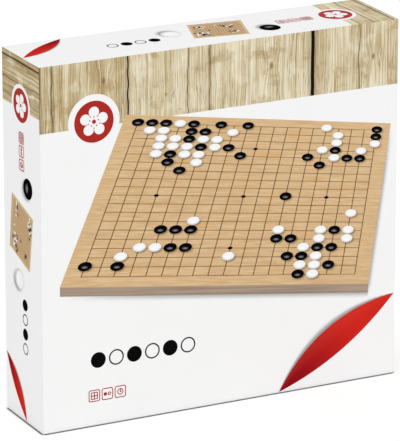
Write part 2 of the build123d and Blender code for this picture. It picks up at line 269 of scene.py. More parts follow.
class Graph:
    """A node tree that is being built."""

    def __init__(self, tree):
        self.tree = tree

    def node(self, kind, settings=None, sockets=None):
        """Adds a node: its settings first, then a value, a link or a list of links for each socket."""
        made = self.tree.nodes.new(kind)
        for name, value in (settings or {}).items():
            if name == "stops":
                self.set_stops(made.color_ramp, value)
            else:
                setattr(made, name, value)
        for name, value in (sockets or {}).items():
            for one in value if isinstance(value, list) else [value]:
                if isinstance(one, Term):
                    self.tree.links.new(one.socket, made.inputs[name])
                else:
                    made.inputs[name].default_value = one
        return Term(self, made.outputs[0]) if made.outputs else None

    def set_stops(self, ramp, stops):
        for _ in range(len(stops) - 2):
            ramp.elements.new(0.5)
        for element, (position, colour) in zip(ramp.elements, stops):
            element.position, element.color = position, colour

    def math(self, operation, *terms):
        return self.node("ShaderNodeMath", {"operation": operation}, dict(enumerate(terms)))

    def vector(self, operation, *terms):
        return self.node("ShaderNodeVectorMath", {"operation": operation}, dict(enumerate(terms)))

    def combine(self, x=0.0, y=0.0, z=0.0):
        return self.node("ShaderNodeCombineXYZ", None, {"X": x, "Y": y, "Z": z})

    def separate(self, vector):
        return self.node("ShaderNodeSeparateXYZ", None, {"Vector": vector})

    def mix(self, factor, first, second):
        sockets = {0: factor, 6: first, 7: second}
        return self.node("ShaderNodeMix", {"data_type": "RGBA"}, sockets)[2]

    def smooth(self, value, low, high, start=0.0, end=1.0):
        """Goes softly from start to end while the value goes from low to high."""
        sockets = {"Value": value, 1: low, 2: high, 3: start, 4: end}
        return self.node("ShaderNodeMapRange", {"interpolation_type": "SMOOTHSTEP"}, sockets)

    def scaled(self, vector, factor):
        sockets = {0: vector, "Scale": factor}
        return self.node("ShaderNodeVectorMath", {"operation": "SCALE"}, sockets)

    def noise(self, x, y, z=0.0, detail=3.0, roughness=0.55):
        """Noise over coordinates that are already scaled."""
        sockets = {"Scale": 1.0, "Detail": detail, "Roughness": roughness}
        return self.node("ShaderNodeTexNoise", None, {"Vector": self.combine(x, y, z), **sockets})

    def grain(self, scale, detail=3.0, roughness=0.55):
        """Noise all through the object, its scale per mm alike each way or given for X, Y and Z."""
        scales = scale if isinstance(scale, tuple) else (scale, scale, scale)
        x, y, z = (self.spot[axis] * share for axis, share in zip("XYZ", scales))
        return self.noise(x, y, z, detail, roughness)

    @cached_property
    def spot(self):
        """Where the point is on the object, in mm."""
        own = self.node("ShaderNodeTexCoord")["Object"]
        return self.separate(self.scaled(own, 1 / MM))

    @cached_property
    def local(self):
        """The point's place in its own motif, as its mesh says."""
        return self.separate(self.node("ShaderNodeAttribute", {"attribute_name": "local"})["Vector"])


def cleared(owner):
    """A graph on the emptied node tree of a material or a world."""
    owner.use_nodes = True
    owner.node_tree.nodes.clear()
    return Graph(owner.node_tree)


def tint(red, green, blue):
    """A colour given in screen values, as the shader takes it."""
    shares = [value / 255 for value in (red, green, blue)]
    linear = [s / 12.92 if s < 0.0404 else ((s + 0.055) / 1.055) ** 2.4 for s in shares]
    return (*linear, 1.0)


def finish(name, paint):
    """A material from a function that gives its shader's sockets; Height, in mm, becomes a bump."""
    made = bpy.data.materials.new(name)
    graph = cleared(made)
    sockets = paint(graph)
    height = sockets.pop("Height", None)
    if height is not None:
        sockets["Normal"] = graph.node("ShaderNodeBump", None, {"Height": height, "Distance": MM})
    shader = graph.node("ShaderNodeBsdfPrincipled", None, sockets)
    graph.node("ShaderNodeOutputMaterial", None, {"Surface": shader})
    return made


# Paper, print and wood

PAPER_WHITE = tint(246, 246, 246)
PAPER_SHADE = tint(243, 243, 243)
FOLD_SHADE_TONE = tint(150, 145, 136)
SATIN = 0.42
SATIN_FILM = {"Specular IOR Level": 0.012}
NO_FILM = {"Specular IOR Level": 0.0}


def coated_paper(g):
    """Colour, roughness and relief of the white satin sheet that all the print is on."""
    cloud = g.grain(0.02)
    fibre = g.grain(1.7, 4.0)
    colour = g.mix(cloud, PAPER_SHADE, PAPER_WHITE)
    return colour, SATIN + (cloud - 0.5) * 0.1, fibre * 0.012 + cloud * 0.05


def weathered_planks(g, across, along, depth):
    """Old boards side by side: grain that runs round the knots, stains, cracks and the dark gaps."""
    drift = g.noise(across * 0.035, along * 0.022, 3.0, 2.0)
    bent = across + drift * 3.5
    knot = 0.0
    for s, t, size in KNOTS:
        off = across - s
        away = ((off * off) + (along - t) ** 2 * 0.3) ** 0.5
        bent = bent + off * g.smooth(away, size * 3.2, size * 0.3) * 0.8
        knot = g.math("MAXIMUM", knot, g.smooth(away + drift * 2 - 1.0, size * 0.8, size * 0.15))
    fine = g.noise(bent * 0.85, along * 0.012, 0.0, 4.0, 0.7)
    streak = g.noise(bent * 0.36, along * 0.006, 21.0, 3.0, 0.6)
    broad = g.noise(bent * 0.08, along * 0.02, 7.0, 3.0)
    stain = g.noise(across * 0.045, along * 0.05, 11.0, 5.0, 0.62)
    vein = g.noise(bent * 0.5, along * 0.008, 17.0, 3.0)
    # depth darkens the planks: painted shade on the two upright narrow sides
    tone = fine * 0.5 + streak * 0.3 + broad * 0.2 - depth
    for start, change in PLANK_TONES:
        tone = tone + (across > start) * change
    stops = [
        (0.36, tint(140, 115, 72)),
        (0.44, tint(186, 165, 123)),
        (0.52, tint(214, 199, 163)),
        (0.62, tint(240, 232, 208)),
    ]
    colour = g.node("ShaderNodeValToRGB", {"stops": stops}, {"Fac": tone})
    colour = g.mix(g.smooth(stain, 0.53, 0.68) * 0.6, colour, tint(168, 138, 88))
    colour = g.mix(g.smooth(stain, 0.47, 0.33) * 0.5, colour, tint(240, 233, 210))
    colour = g.mix(g.smooth(abs(vein - 0.5), 0.016, 0.003) * 0.6, colour, tint(112, 88, 52))
    colour = g.mix(knot * 0.75, colour, tint(112, 84, 48))
    for centre, width, wave in PLANK_GAPS:
        sway = (g.noise(along * 0.045, centre, 0.0, 1.0) - 0.5) * wave * 2
        off = abs(across - centre + sway)
        colour = g.mix(g.smooth(off, width * 2 + 2, width / 2) * 0.35, colour, tint(132, 108, 66))
        colour = g.mix(g.smooth(off, width / 2 + 0.25, width / 2 - 0.1), colour, tint(24, 20, 14))
    return colour


def pale_wood(g, along, across):
    """Light board veneer: long fibres, faint darker bands and small pores. Colour and relief."""
    sway = g.noise(along * 0.008, across * 0.02, 5.0, 2.0)
    fibre = g.noise(along * 0.035, across * 1.3 + sway * 3, 1.0, 5.0, 0.68)
    band = g.noise(along * 0.006, across * 0.11 + sway * 2, 9.0, 3.0)
    pore = g.noise(along * 0.16, across * 3.1, 2.0, 2.0)
    stops = [
        (0.3, tint(184, 148, 103)),
        (0.47, tint(204, 170, 124)),
        (0.6, tint(214, 181, 137)),
        (0.75, tint(224, 194, 152)),
    ]
    colour = g.node("ShaderNodeValToRGB", {"stops": stops}, {"Fac": fibre * 0.5 + band * 0.5})
    colour = g.mix(g.smooth(pore, 0.4, 0.27) * 0.4, colour, tint(150, 112, 70))
    return colour, fibre


def lid_paper(g):
    """The lid's sheet: white ground, the wood bands, and where the sheet laps at the corners."""
    spot = g.spot
    colour, rough, relief = coated_paper(g)
    front = FRONT.facing(spot)
    across, along = FRONT.read(spot)
    ragged = (g.noise(across * 0.8, along * 0.8) - 0.5) * 0.35
    lower = FRONT.height - FRONT_BAND
    wood = front * g.smooth(along + ragged, lower - BAND_EDGE, lower + BAND_EDGE)
    across, along = across * front, along * front
    depth = 0.0
    for order, strip in enumerate(STRIPS):
        side = strip.facing(spot) * (1 - front)
        s, t = strip.read(spot)
        wood = wood + side * g.smooth(s, STRIP_BAND + BAND_EDGE, STRIP_BAND - BAND_EDGE)
        across = across + side * (s + STRIP_SHIFT)
        along = along + side * (t + order * STRIP_APART)
        if strip.lapped:
            colour, relief = corner_laps(g, strip, s, side, colour, relief)
            # The upright sides' planks get painted shade, darker print standing in for their shading
            depth = depth + side * SIDE_SHADE
    colour = g.mix(g.math("MINIMUM", wood, 1.0), colour, weathered_planks(g, across, along, depth))
    nearest = FRONT.along(spot, FRONT.out)
    for strip in STRIPS:
        nearest = g.math("MAXIMUM", nearest, strip.along(spot, strip.out))
    # A darker grey-brown tone painted along the rounded edges: painted shade at the folds
    fold_shade = g.smooth(nearest, *FOLD_START) * g.smooth(nearest, *FOLD_END)
    colour = g.mix(fold_shade * FOLD_SHADE_SHARE, colour, FOLD_SHADE_TONE)
    return {**SATIN_FILM, "Base Color": colour, "Roughness": rough, "Height": relief}


def corner_laps(g, strip, s, side, colour, relief):
    """The step of the ear glued under this side's flap, and the flap's white cut edge."""
    from_end = g.math("MINIMUM", s, strip.width - s)
    step = g.smooth(from_end, LAP_WIDTH + 0.5, LAP_WIDTH - 0.5) * 0.1
    edge = g.smooth(abs(from_end - LAP_SETBACK), 0.22, 0.08)
    worn = g.smooth(g.noise(s * 0.4, from_end * 0.1, 4.0), 0.42, 0.6)
    colour = g.mix(side * edge * (worn * 0.5 + 0.15), colour, PAPER_WHITE)
    return colour, relief + side * (step - edge * 0.06)


def plain_paper(g):
    """The base's white offset sheet."""
    colour, rough, relief = coated_paper(g)
    fleck = g.grain(0.9, 4.0)
    colour = g.mix(g.smooth(fleck, 0.62, 0.75) * 0.35, colour, tint(226, 225, 221))
    return {"Base Color": colour, "Roughness": rough + 0.22, "Height": relief}


def grey_board(g):
    """Pressed grey board: mottled pulp with dark and light flecks."""
    pulp = g.grain(0.12, 5.0)
    fleck = g.grain(1.1)
    colour = g.mix(pulp, tint(148, 143, 134), tint(176, 170, 160))
    colour = g.mix(g.smooth(fleck, 0.63, 0.72) * 0.6, colour, tint(206, 202, 192))
    colour = g.mix(g.smooth(fleck, 0.36, 0.28) * 0.6, colour, tint(104, 98, 90))
    return {"Base Color": colour, "Roughness": 0.9 - pulp * 0.1, "Height": fleck * 0.05}


def kraft_tape(g):
    """Gummed brown paper with its lines of fibre."""
    fibre = g.grain((0.5, 0.06, 0.5), 5.0)
    colour = g.mix(fibre, tint(176, 140, 98), tint(206, 172, 128))
    return {"Base Color": colour, "Roughness": 0.75 + fibre * 0.1, "Height": fibre * 0.02}


def formed_plastic(g):
    """White vacuum-formed sheet: satin, with soft waves where it was drawn."""
    wave = g.grain(0.05, 2.0)
    skin = g.grain(2.2, 2.0)
    colour = g.mix(wave, tint(226, 226, 223), tint(238, 238, 235))
    relief = wave * 0.25 + skin * 0.01
    return {"Base Color": colour, "Roughness": 0.3 + skin * 0.12, "Height": relief}


def fibre_core(g):
    """Raw edge of the pressed wood fibre core."""
    fibre = g.grain(1.4, 5.0)
    colour = g.mix(fibre, tint(140, 104, 68), tint(186, 148, 104))
    return {"Base Color": colour, "Roughness": 0.85 - fibre * 0.1, "Height": fibre * 0.06}


def veneer(g):
    """The real board's lacquered faces, the grain running left to right."""
    colour, fibre = pale_wood(g, g.spot["X"], g.spot["Z"])
    rough, relief = 0.42 - fibre * 0.12, fibre * 0.02
    return {"Base Color": colour, "Roughness": rough, "Height": relief, "Coat Weight": 0.15}


def edge_wood(g):
    """The board's brown-grey edge strips, grain along each strip."""
    fibre = g.grain((0.07, 1.6, 0.07), 5.0, 0.65)
    colour = g.mix(g.smooth(fibre, 0.3, 0.7), tint(140, 114, 88), tint(180, 156, 128))
    return {"Base Color": colour, "Roughness": 0.5 - fibre * 0.1, "Height": fibre * 0.03}


def booklet_paper(g):
    """Uncoated pages, with the edges of the leaves as fine lines."""
    fibre = g.grain((0.8, 9.0, 0.8), 4.0)
    colour = g.mix(fibre, tint(232, 229, 220), tint(243, 241, 234))
    return {"Base Color": colour, "Roughness": 0.72 + fibre * 0.12, "Height": fibre * 0.03}


def booklet_cover(g):
    """Satin cover paper."""
    colour, rough, relief = coated_paper(g)
    colour = g.mix(0.5, colour, tint(240, 238, 231))
    return {"Base Color": colour, "Roughness": rough, "Height": relief}


def staple_wire(g):
    """Drawn steel wire with fine lines along it."""
    drawn = g.grain((9.0, 9.0, 0.6))
    colour = g.mix(drawn, tint(176, 178, 182), tint(218, 219, 222))
    return {"Base Color": colour, "Metallic": 1.0, "Roughness": 0.22 + drawn * 0.15}


def tub_plastic(g):
    """Black moulded plastic with a fine spark-eroded skin."""
    skin = g.grain(3.2, 2.0)
    rub = g.grain(0.06, 4.0)
    colour = g.mix(rub, tint(30, 30, 32), tint(44, 44, 46))
    return {"Base Color": colour, "Roughness": 0.34 + rub * 0.14, "Height": skin * 0.03}


def stone_glaze(g, dark, light, rough):
    """A polished stone: faint cloud in its colour, and tiny pits."""
    cloud = g.grain(0.22, 4.0)
    pit = g.grain(2.6, 2.0)
    rough = rough + g.smooth(pit, 0.55, 0.75) * 0.12
    return {"Base Color": g.mix(cloud, dark, light), "Roughness": rough, "Height": pit * 0.01}


def black_stone(g):
    return stone_glaze(g, tint(16, 16, 18), tint(34, 35, 38), 0.24)


def white_stone(g):
    return stone_glaze(g, tint(232, 231, 226), tint(247, 246, 242), 0.2)


# Inks: black and red are dull, and the others lie under the same satin film as the paper

def flat_ink(g, colour, lighter):
    """Solid ink with the faint mottle of offset print."""
    mottle = g.grain(0.35, 5.0)
    _, rough, relief = coated_paper(g)
    colour = g.mix(mottle, colour, lighter)
    return {**SATIN_FILM, "Base Color": colour, "Roughness": rough - 0.04, "Height": relief}


def black_ink(g):
    return {**flat_ink(g, tint(8, 8, 9), tint(16, 16, 17)), **NO_FILM}


def line_ink(g):
    return flat_ink(g, tint(98, 66, 34), tint(118, 84, 48))


def seal_ink(g):
    return flat_ink(g, tint(164, 40, 34), tint(178, 50, 42))


def white_ink(g):
    colour, rough, relief = coated_paper(g)
    return {**SATIN_FILM, "Base Color": colour, "Roughness": rough, "Height": relief}


def red_ink(g):
    """The red corner band: deep at its narrow foot and brighter towards its top."""
    local = g.local
    colour = g.mix(g.smooth(local["X"], 0.05, 0.75), tint(140, 16, 26), tint(206, 40, 32))
    colour = g.mix(g.smooth(local["Y"], 0.35, 0.95) * 0.25, colour, tint(220, 66, 50))
    return {**flat_ink(g, colour, colour), **NO_FILM, "Base Color": colour}


def board_face_ink(g):
    """The drawn board's face: wood like the real one's, in the picture's own perspective."""
    x, y = g.local["X"], g.local["Y"]
    colour, _ = pale_wood(g, x, y)
    warm = g.noise(x * 0.03, y * 0.07, 6.0, 4.0)
    fleck = g.noise(x * 0.04, y * 0.42, 12.0, 4.0, 0.7)
    haze = g.smooth(y, 0.0, 280.0)
    colour = g.mix(haze * 0.1 + 0.36, colour, tint(224, 193, 151))
    colour = g.mix(g.smooth(fleck, 0.5, 0.66) * 0.5, colour, tint(234, 206, 166))
    colour = g.mix(g.smooth(fleck, 0.5, 0.34) * 0.55, colour, tint(192, 152, 102))
    colour = g.mix(g.smooth(warm, 0.54, 0.72) * 0.4, colour, tint(224, 168, 102))
    return {**white_ink(g), "Base Color": colour}


def board_edge_ink(g):
    """The drawn board's front edge: long dull fibres, darker under its upper rim."""
    local = g.local
    fibre = g.noise(local["X"] * 0.012, local["Y"] * 5.0, 2.0, 3.0)
    colour = g.mix(g.smooth(fibre, 0.35, 0.65), tint(154, 134, 118), tint(175, 155, 136))
    colour = g.mix(g.smooth(local["Y"], 0.75, 1.0) * 0.5, colour, tint(126, 106, 92))
    colour = g.mix(g.smooth(local["Y"], 0.16, 0.02) * 0.6, colour, tint(196, 168, 130))
    return {**white_ink(g), "Base Color": colour}


def printed_stone(g, body, rim, glow, shine):
    """A drawn stone: its body, a rim on the lower side, and a soft gleam a little below its middle."""
    x, y = g.local["X"], g.local["Y"]
    radius = (x * x + y * y) ** 0.5
    low_rim = g.smooth(radius - y * 0.22, 0.62, 1.15)
    gleam = (x ** 2 + (y + 0.2) ** 2 * 2.4) ** 0.5
    colour = g.mix(low_rim, body, rim)
    colour = g.mix(g.smooth(gleam, 0.6, 0.0) * shine, colour, glow)
    return {**white_ink(g), "Base Color": colour}


def black_stone_ink(g):
    return {**printed_stone(g, tint(9, 8, 10), tint(3, 3, 4), tint(176, 172, 176), 0.52), **NO_FILM}


def white_stone_ink(g):
    return printed_stone(g, tint(245, 245, 245), tint(204, 201, 196), tint(255, 255, 255), 0.9)


def shade_ink(g):
    """A soft drawn shadow that thins out towards its rim."""
    local = g.local
    radius = (local["X"] ** 2 + local["Y"] ** 2) ** 0.5
    alpha = g.smooth(radius, *SHADE_FADE, 0.0, SHADE_FULL)
    return {**white_ink(g), "Base Color": tint(60, 52, 46), "Alpha": alpha}


# Printed panels

class Panel:
    """A flat printed side. s runs right and t up, as its print is read, in mm."""

    def __init__(self, name, corner, right, up, width, height, lapped=False):
        self.name, self.lapped = name, lapped
        self.corner, self.right, self.up = Vector(corner), Vector(right), Vector(up)
        self.out = self.right.cross(self.up)
        self.width, self.height = width, height

    def at(self, s, t, layer):
        return (self.corner + self.right * s + self.up * t + self.out * layer) * MM

    def along(self, spot, direction):
        """How far a shader's point lies along one of the panel's directions."""
        axis = max(range(3), key=lambda i: abs(direction[i]))
        sign = direction[axis]
        return (spot["XYZ"[axis]] - self.corner[axis]) * sign

    def read(self, spot):
        return self.along(spot, self.right), self.along(spot, self.up)

    def facing(self, spot):
        """1 on this panel and its share of the rounded edges, else 0."""
        return self.along(spot, self.out) > -CORNER_BLEND


def lid_panels():
    """The front and the four narrow sides, which read round the box from its wood end."""
    low, high = (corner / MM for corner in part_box("lid_wrap"))
    room = Vector((INK_ROOM,) * 3)
    low, high = low + room, high - room
    wide, deep, tall = high - low
    front = Panel("front", low, (1, 0, 0), (0, 0, 1), wide, tall)
    to_front = (0, -1, 0)
    strips = [
        Panel("left", (low.x, high.y, high.z), (0, 0, -1), to_front, tall, deep, True),
        Panel("top", (high.x, high.y, high.z), (-1, 0, 0), to_front, wide, deep),
        Panel("right", (high.x, high.y, low.z), (0, 0, 1), to_front, tall, deep, True),
        Panel("bottom", (low.x, high.y, low.z), (1, 0, 0), to_front, wide, deep),
    ]
    return front, strips


class Picture:
    """A unit square drawn in perspective on a panel between four corners."""

    def __init__(self, panel, near_left, near_right, far_right, far_left):
        self.panel = panel
        start, right, far, left = (Vector(p) for p in (near_left, near_right, far_right, far_left))
        skew, down, back = start - right + far - left, right - far, left - far
        area = down.cross(back)
        self.fade_across, self.fade_away = skew.cross(back) / area, down.cross(skew) / area
        self.corner = start
        self.across = right * (1 + self.fade_across) - start
        self.away = left * (1 + self.fade_away) - start

    def point(self, u, v):
        depth = 1 + self.fade_across * u + self.fade_away * v
        return tuple((self.corner + self.across * u + self.away * v) / depth)

    def inputs(self):
        """The same drawing as inputs of a tree that lays flat patterns on the paper."""
        def in_space(flat):
            return (self.panel.right * flat.x + self.panel.up * flat.y) * MM

        return {
            "Base": self.panel.corner * MM,
            "Across": in_space(self.across),
            "Away": in_space(self.away),
            "Corner": in_space(self.corner),
            "Fade": Vector((self.fade_across, self.fade_away, 0)),
            "Lift": self.panel.out * MM,
        }


def plain_picture(panel, left, foot, right, top):
    """A picture with no perspective between these places on the panel."""
    return Picture(panel, (left, foot), (right, foot), (right, top), (left, top))


# Pieces

def linked(name, data):
    """A new object with this data in the scene."""
    made = bpy.data.objects.new(name, data)
    bpy.context.scene.collection.objects.link(made)
    return made


def add_piece(name, mesh, body, materials=(), stands_for=()):
    """Makes a finished mesh a piece that rides on a body."""
    piece = linked(name, mesh)
    for material in materials:
        mesh.materials.append(material)
    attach(piece, body)
    if stands_for:
        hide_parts(*stands_for)
    return piece


class Inks:
    """Flat shapes printed on one panel: fills, bands between two lines, and meshed pictures."""

    def __init__(self, panel):
        self.panel = panel
        self.points, self.local, self.faces = [], [], []

    def add(self, flat, faces, ink, layer, local=None):
        first = len(self.points)
        self.points += [self.panel.at(s, t, layer) for s, t in flat]
        self.local += local or [(0, 0, 0)] * len(flat)
        self.faces += [([first + i for i in face], ink) for face in faces]

    def fill(self, outline, ink, layer=FACE_LAYER):
        self.add(outline, [range(len(outline))], ink, layer)

    def ring(self, outer, inner, ink, layer=FACE_LAYER):
        """The band between two closed outlines that have as many points."""
        n = len(outer)
        faces = [(i, (i + 1) % n, n + (i + 1) % n, n + i) for i in range(n)]
        self.add(outer + inner, faces, ink, layer)

    def hoop(self, s, t, radius, line, ink, sides=40):
        """A drawn circle, its line inside the radius."""
        self.ring(circle(s, t, radius, sides), circle(s, t, radius - line, sides), ink)

    def band(self, lower, upper, ink, layer, local):
        """The band between two open lines that have as many points, the upper one on the left."""
        n = len(lower)
        faces = [(i, i + 1, n + i + 1, n + i) for i in range(n - 1)]
        self.add(lower + upper, faces, ink, layer, local)

    def piece(self, name, body, slot):
        """The shapes as one piece, every face looking out of the panel."""
        mesh = bpy.data.meshes.new(name)
        mesh.from_pydata(self.points, [], [face for face, _ in self.faces])
        inks = list(dict.fromkeys(ink for _, ink in self.faces))
        for polygon, (_, ink) in zip(mesh.polygons, self.faces):
            polygon.material_index = inks.index(ink)
            if polygon.normal.dot(self.panel.out) < 0:
                polygon.flip()
        local = mesh.attributes.new("local", "FLOAT_VECTOR", "POINT")
        local.data.foreach_set("vector", [value for spot in self.local for value in spot])
        mesh.update()
        add_piece(name, mesh, body, [INK[ink] for ink in inks])


def circle(s, t, radius, sides=40):
    turns = [math.tau * i / sides for i in range(sides)]
    return [(s + radius * math.cos(a), t + radius * math.sin(a)) for a in turns]


def rounded_square(s, t, size, radius, steps=5):
    """Outline of a square with round corners, centred at a place."""
    reach = size / 2 - radius
    outline = []
    for quarter in range(4):
        turn = quarter * math.pi / 2
        middle = turn + math.pi / 4
        cs = s + math.copysign(reach, math.cos(middle))
        ct = t + math.copysign(reach, math.sin(middle))
        for i in range(steps):
            a = turn + i / (steps - 1) * math.pi / 2
            outline.append((cs + radius * math.cos(a), ct + radius * math.sin(a)))
    return outline


def bow(start, end, rise, steps=24):
    """Points of a parabolic arc from start to end that rises to the left of its chord."""
    start, end = Vector(start), Vector(end)
    left = (end - start).orthogonal().normalized()
    points = []
    for i in range(steps + 1):
        share = i / steps
        lift = 4 * share * (1 - share) * rise
        points.append(tuple(start.lerp(end, share) + left * lift))
    return points


# Geometry Nodes recipes

def recipe(name, inputs, build):
    """A Geometry Nodes tree with these named inputs, whose geometry build makes from them."""
    tree = bpy.data.node_groups.new(name, "GeometryNodeTree")
    tree.interface.new_socket("Geometry", in_out="INPUT", socket_type="NodeSocketGeometry")
    for label, kind in inputs.items():
        tree.interface.new_socket(label, in_out="INPUT", socket_type="NodeSocket" + kind)
    tree.interface.new_socket("Geometry", in_out="OUTPUT", socket_type="NodeSocketGeometry")
    graph = Graph(tree)
    start = graph.node("NodeGroupInput")
    graph.node("NodeGroupOutput", None, {"Geometry": build(graph, start)})
    return tree


def grow(name, tree, values, seeds=None):
    """Runs a tree on some seed points and returns the plain mesh that it makes."""
    host = linked(name, seeds or bpy.data.meshes.new(name))
    modifier = host.modifiers.new(name, "NODES")
    modifier.node_group = tree
    for item in tree.interface.items_tree:
        if item.in_out == "INPUT" and item.name in values:
            modifier[item.identifier] = values[item.name]
    evaluated = host.evaluated_get(bpy.context.evaluated_depsgraph_get())
    mesh = bpy.data.meshes.new_from_object(evaluated)
    host.modifiers.clear()
    bpy.data.objects.remove(host)
    return mesh


ON_PAPER = {name: "Vector" for name in ("Base", "Across", "Away", "Corner", "Fade", "Lift")}


def on_paper(g, start, parts):
    """Moves patterns from the unit square, each with its layer as height, onto the paper."""
    flat = g.node("GeometryNodeJoinGeometry", None, {"Geometry": parts})
    spot = g.separate(g.node("GeometryNodeInputPosition"))
    fade = g.separate(start["Fade"])
    depth = 1 + spot["X"] * fade["X"] + spot["Y"] * fade["Y"]
    away = g.vector("MULTIPLY_ADD", start["Away"], spot["Y"], start["Corner"])
    drawn = g.vector("MULTIPLY_ADD", start["Across"], spot["X"], away)
    drawn = g.scaled(drawn, 1 / depth)
    raised = g.vector("MULTIPLY_ADD", start["Lift"], spot["Z"], start["Base"])
    sockets = {"Geometry": flat, "Position": g.vector("ADD", drawn, raised)}
    return g.node("GeometryNodeSetPosition", None, sockets)


def copies(g, points, instance, material, **more):
    """The instance at every point, made real and given its material."""
    sockets = {"Points": points, "Instance": instance, **more}
    placed = g.node("GeometryNodeInstanceOnPoints", None, sockets)
    real = g.node("GeometryNodeRealizeInstances", None, {"Geometry": placed})
    return g.node("GeometryNodeSetMaterial", None, {"Geometry": real, "Material": material})


def moved(g, geometry, x, y, z):
    sockets = {"Geometry": geometry, "Translation": g.combine(x, y, z)}
    return g.node("GeometryNodeTransform", None, sockets)


def dot(g, radius, sides, fill="NGON"):
    """A flat disc in the middle of its own axes."""
    sockets = {"Vertices": sides, "Radius": radius}
    return g.node("GeometryNodeMeshCircle", {"fill_type": fill}, sockets)


def sheet(g, wide, tall, count):
    """A flat grid in the middle of its own axes, with as many points each way."""
    sockets = {"Size X": wide, "Size Y": tall, "Vertices X": count, "Vertices Y": count}
    return g.node("GeometryNodeMeshGrid", None, sockets)


def ruled_grid(g, start):
    """The lines of a board and its nine star points."""
    margin, width, lines = start["Margin"], start["Line width"], start["Lines"]
    span = 1 - 2 * margin
    pitch = span / (lines - 1)
    length = span + width
    parts = []
    for size, first, step, layer in (
        ((width, length), (margin, 0.5), (pitch, 0.0), LINE_LAYER),
        ((length, width), (0.5, margin), (0.0, pitch), CROSS_LAYER),
    ):
        row = {"Count": lines, "Start Location": g.combine(*first, layer)}
        row["Offset"] = g.combine(*step)
        points = g.node("GeometryNodeMeshLine", {"mode": "OFFSET"}, row)
        parts.append(copies(g, points, sheet(g, *size, 2), INK["line"]))
    apart = pitch * STAR_LINES_APART
    stars = moved(g, sheet(g, apart, apart, 3), 0.5, 0.5, CROSS_LAYER)
    parts.append(copies(g, stars, dot(g, start["Star radius"], 12), INK["black"]))
    return on_paper(g, start, parts)


def printed_stones(g, start):
    """A drawn stone and its shadow at every point, black or white as the point's tone says."""
    fan = dot(g, 1.0, 24, "TRIANGLE_FAN")
    named = {"Geometry": fan, "Name": "local", "Value": g.node("GeometryNodeInputPosition")}
    disc = g.node("GeometryNodeStoreNamedAttribute", {"data_type": "FLOAT_VECTOR"}, named)
    tone = g.node("GeometryNodeInputNamedAttribute", {"data_type": "FLOAT"}, {"Name": "tone"})
    radius = start["Radius"]
    parts = []
    for ink, chosen, size, layer, x, y in (
        ("shade", tone > -1, 1.3, STONE_SHADE_LAYER, 0.22, -0.12),
        ("black stone", tone < 0.5, 1.0, STONE_LAYER, 0.0, 0.2),
        ("white stone", tone > 0.5, 1.0, STONE_LAYER, 0.0, 0.2),
    ):
        seats = moved(g, start["Geometry"], radius * x, radius * y, layer)
        wide = radius * size
        scale = g.combine(wide, wide * start["Roundness"], 1.0)
        parts.append(copies(g, seats, disc, INK[ink], Selection=chosen, Scale=scale))
    return on_paper(g, start, parts)


def blossom_seal(g, start):
    """A round seal: a plum blossom left white in a red disc."""
    centre = g.node("GeometryNodeMeshLine", {"mode": "OFFSET"}, {"Count": 1})
    parts = []

    def round_about(ring, turn):
        rim = dot(g, ring, start["Petals"], "NONE")
        sockets = {"Geometry": rim, "Rotation": (0.0, 0.0, turn)}
        return g.node("GeometryNodeTransform", None, sockets)

    for points, radius, sides, ink, layer in (
        (centre, 0.5, 64, "seal", FACE_LAYER),
        (round_about(0.23, math.pi / 2), 0.13, 28, "white", LINE_LAYER),
        (centre, 0.14, 28, "white", CROSS_LAYER),
        (centre, 0.052, 20, "seal", STONE_SHADE_LAYER),
        (round_about(0.115, math.pi / 2), 0.018, 10, "seal", STONE_SHADE_LAYER),
        (round_about(0.15, -math.pi / 2), 0.014, 10, "seal", STONE_SHADE_LAYER),
    ):
        spots = moved(g, points, 0.5, 0.5, layer)
        parts.append(copies(g, spots, dot(g, radius, sides), INK[ink]))
    return on_paper(g, start, parts)


def tub_stones(g, start, material):
    """A polished lens at every point, lying flat over the tub's foot and a little askew."""
    ball = g.node("GeometryNodeMeshUVSphere", None, {"Segments": 16, "Rings": 4, "Radius": 0.5})
    size = g.combine(start["Diameter"], start["Diameter"], start["Height"])
    lens = g.node("GeometryNodeTransform", None, {"Geometry": ball, "Scale": size})
    lens = g.node("GeometryNodeSetShadeSmooth", None, {"Geometry": lens})
    tilt, face_front = start["Tilt"], math.pi / 2
    limits = {
        0: g.combine(face_front - tilt, 0.0, 0 - tilt),
        1: g.combine(face_front + tilt, math.tau, tilt),
        "Seed": start["Seed"],
    }
    askew = g.node("FunctionNodeRandomValue", {"data_type": "FLOAT_VECTOR"}, limits)
    return copies(g, start["Geometry"], lens, material, Rotation=askew)


# The box

def welded(node):
    """A CAD node's mesh with its triangles joined, to be freed after use."""
    form = bmesh.new()
    form.from_mesh(NODES[node].data)
    bmesh.ops.remove_doubles(form, verts=form.verts, dist=1e-6)
    return form


def printed_lid():
    """The lid's sheet, its round edges smooth and its outside drawn in by the inks' room."""
    form = welded("lid_wrap")
    mesh = bpy.data.meshes.new("lid_wrap")
    form.to_mesh(mesh)
    form.free()
    mesh.shade_smooth()
    mesh.set_sharp_from_angle(angle=math.radians(SHARP_EDGE))
    low, high = (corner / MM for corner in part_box("lid_wrap"))
    middle, half = (low + high) / 2, (high - low) / 2
    for vertex in mesh.vertices:
        off = vertex.co / MM - middle
        reach = Vector([max(abs(off[i]) - half[i] + LID_ROUND, 0.0) for i in range(3)])
        if off.y > 0:
            reach.y = 0.0
        if abs(reach.length - LID_ROUND) < ON_SKIN:
            outward = Vector([math.copysign(reach[i], off[i]) for i in range(3)])
            vertex.co -= outward.normalized() * INK_ROOM * MM
    material = finish("lid paper", lid_paper)
    paper = add_piece("lid_paper", mesh, "lid", [material], ["lid_wrap"])
    flatten = paper.modifiers.new("flat sides", "WEIGHTED_NORMAL")
    flatten.keep_sharp = True


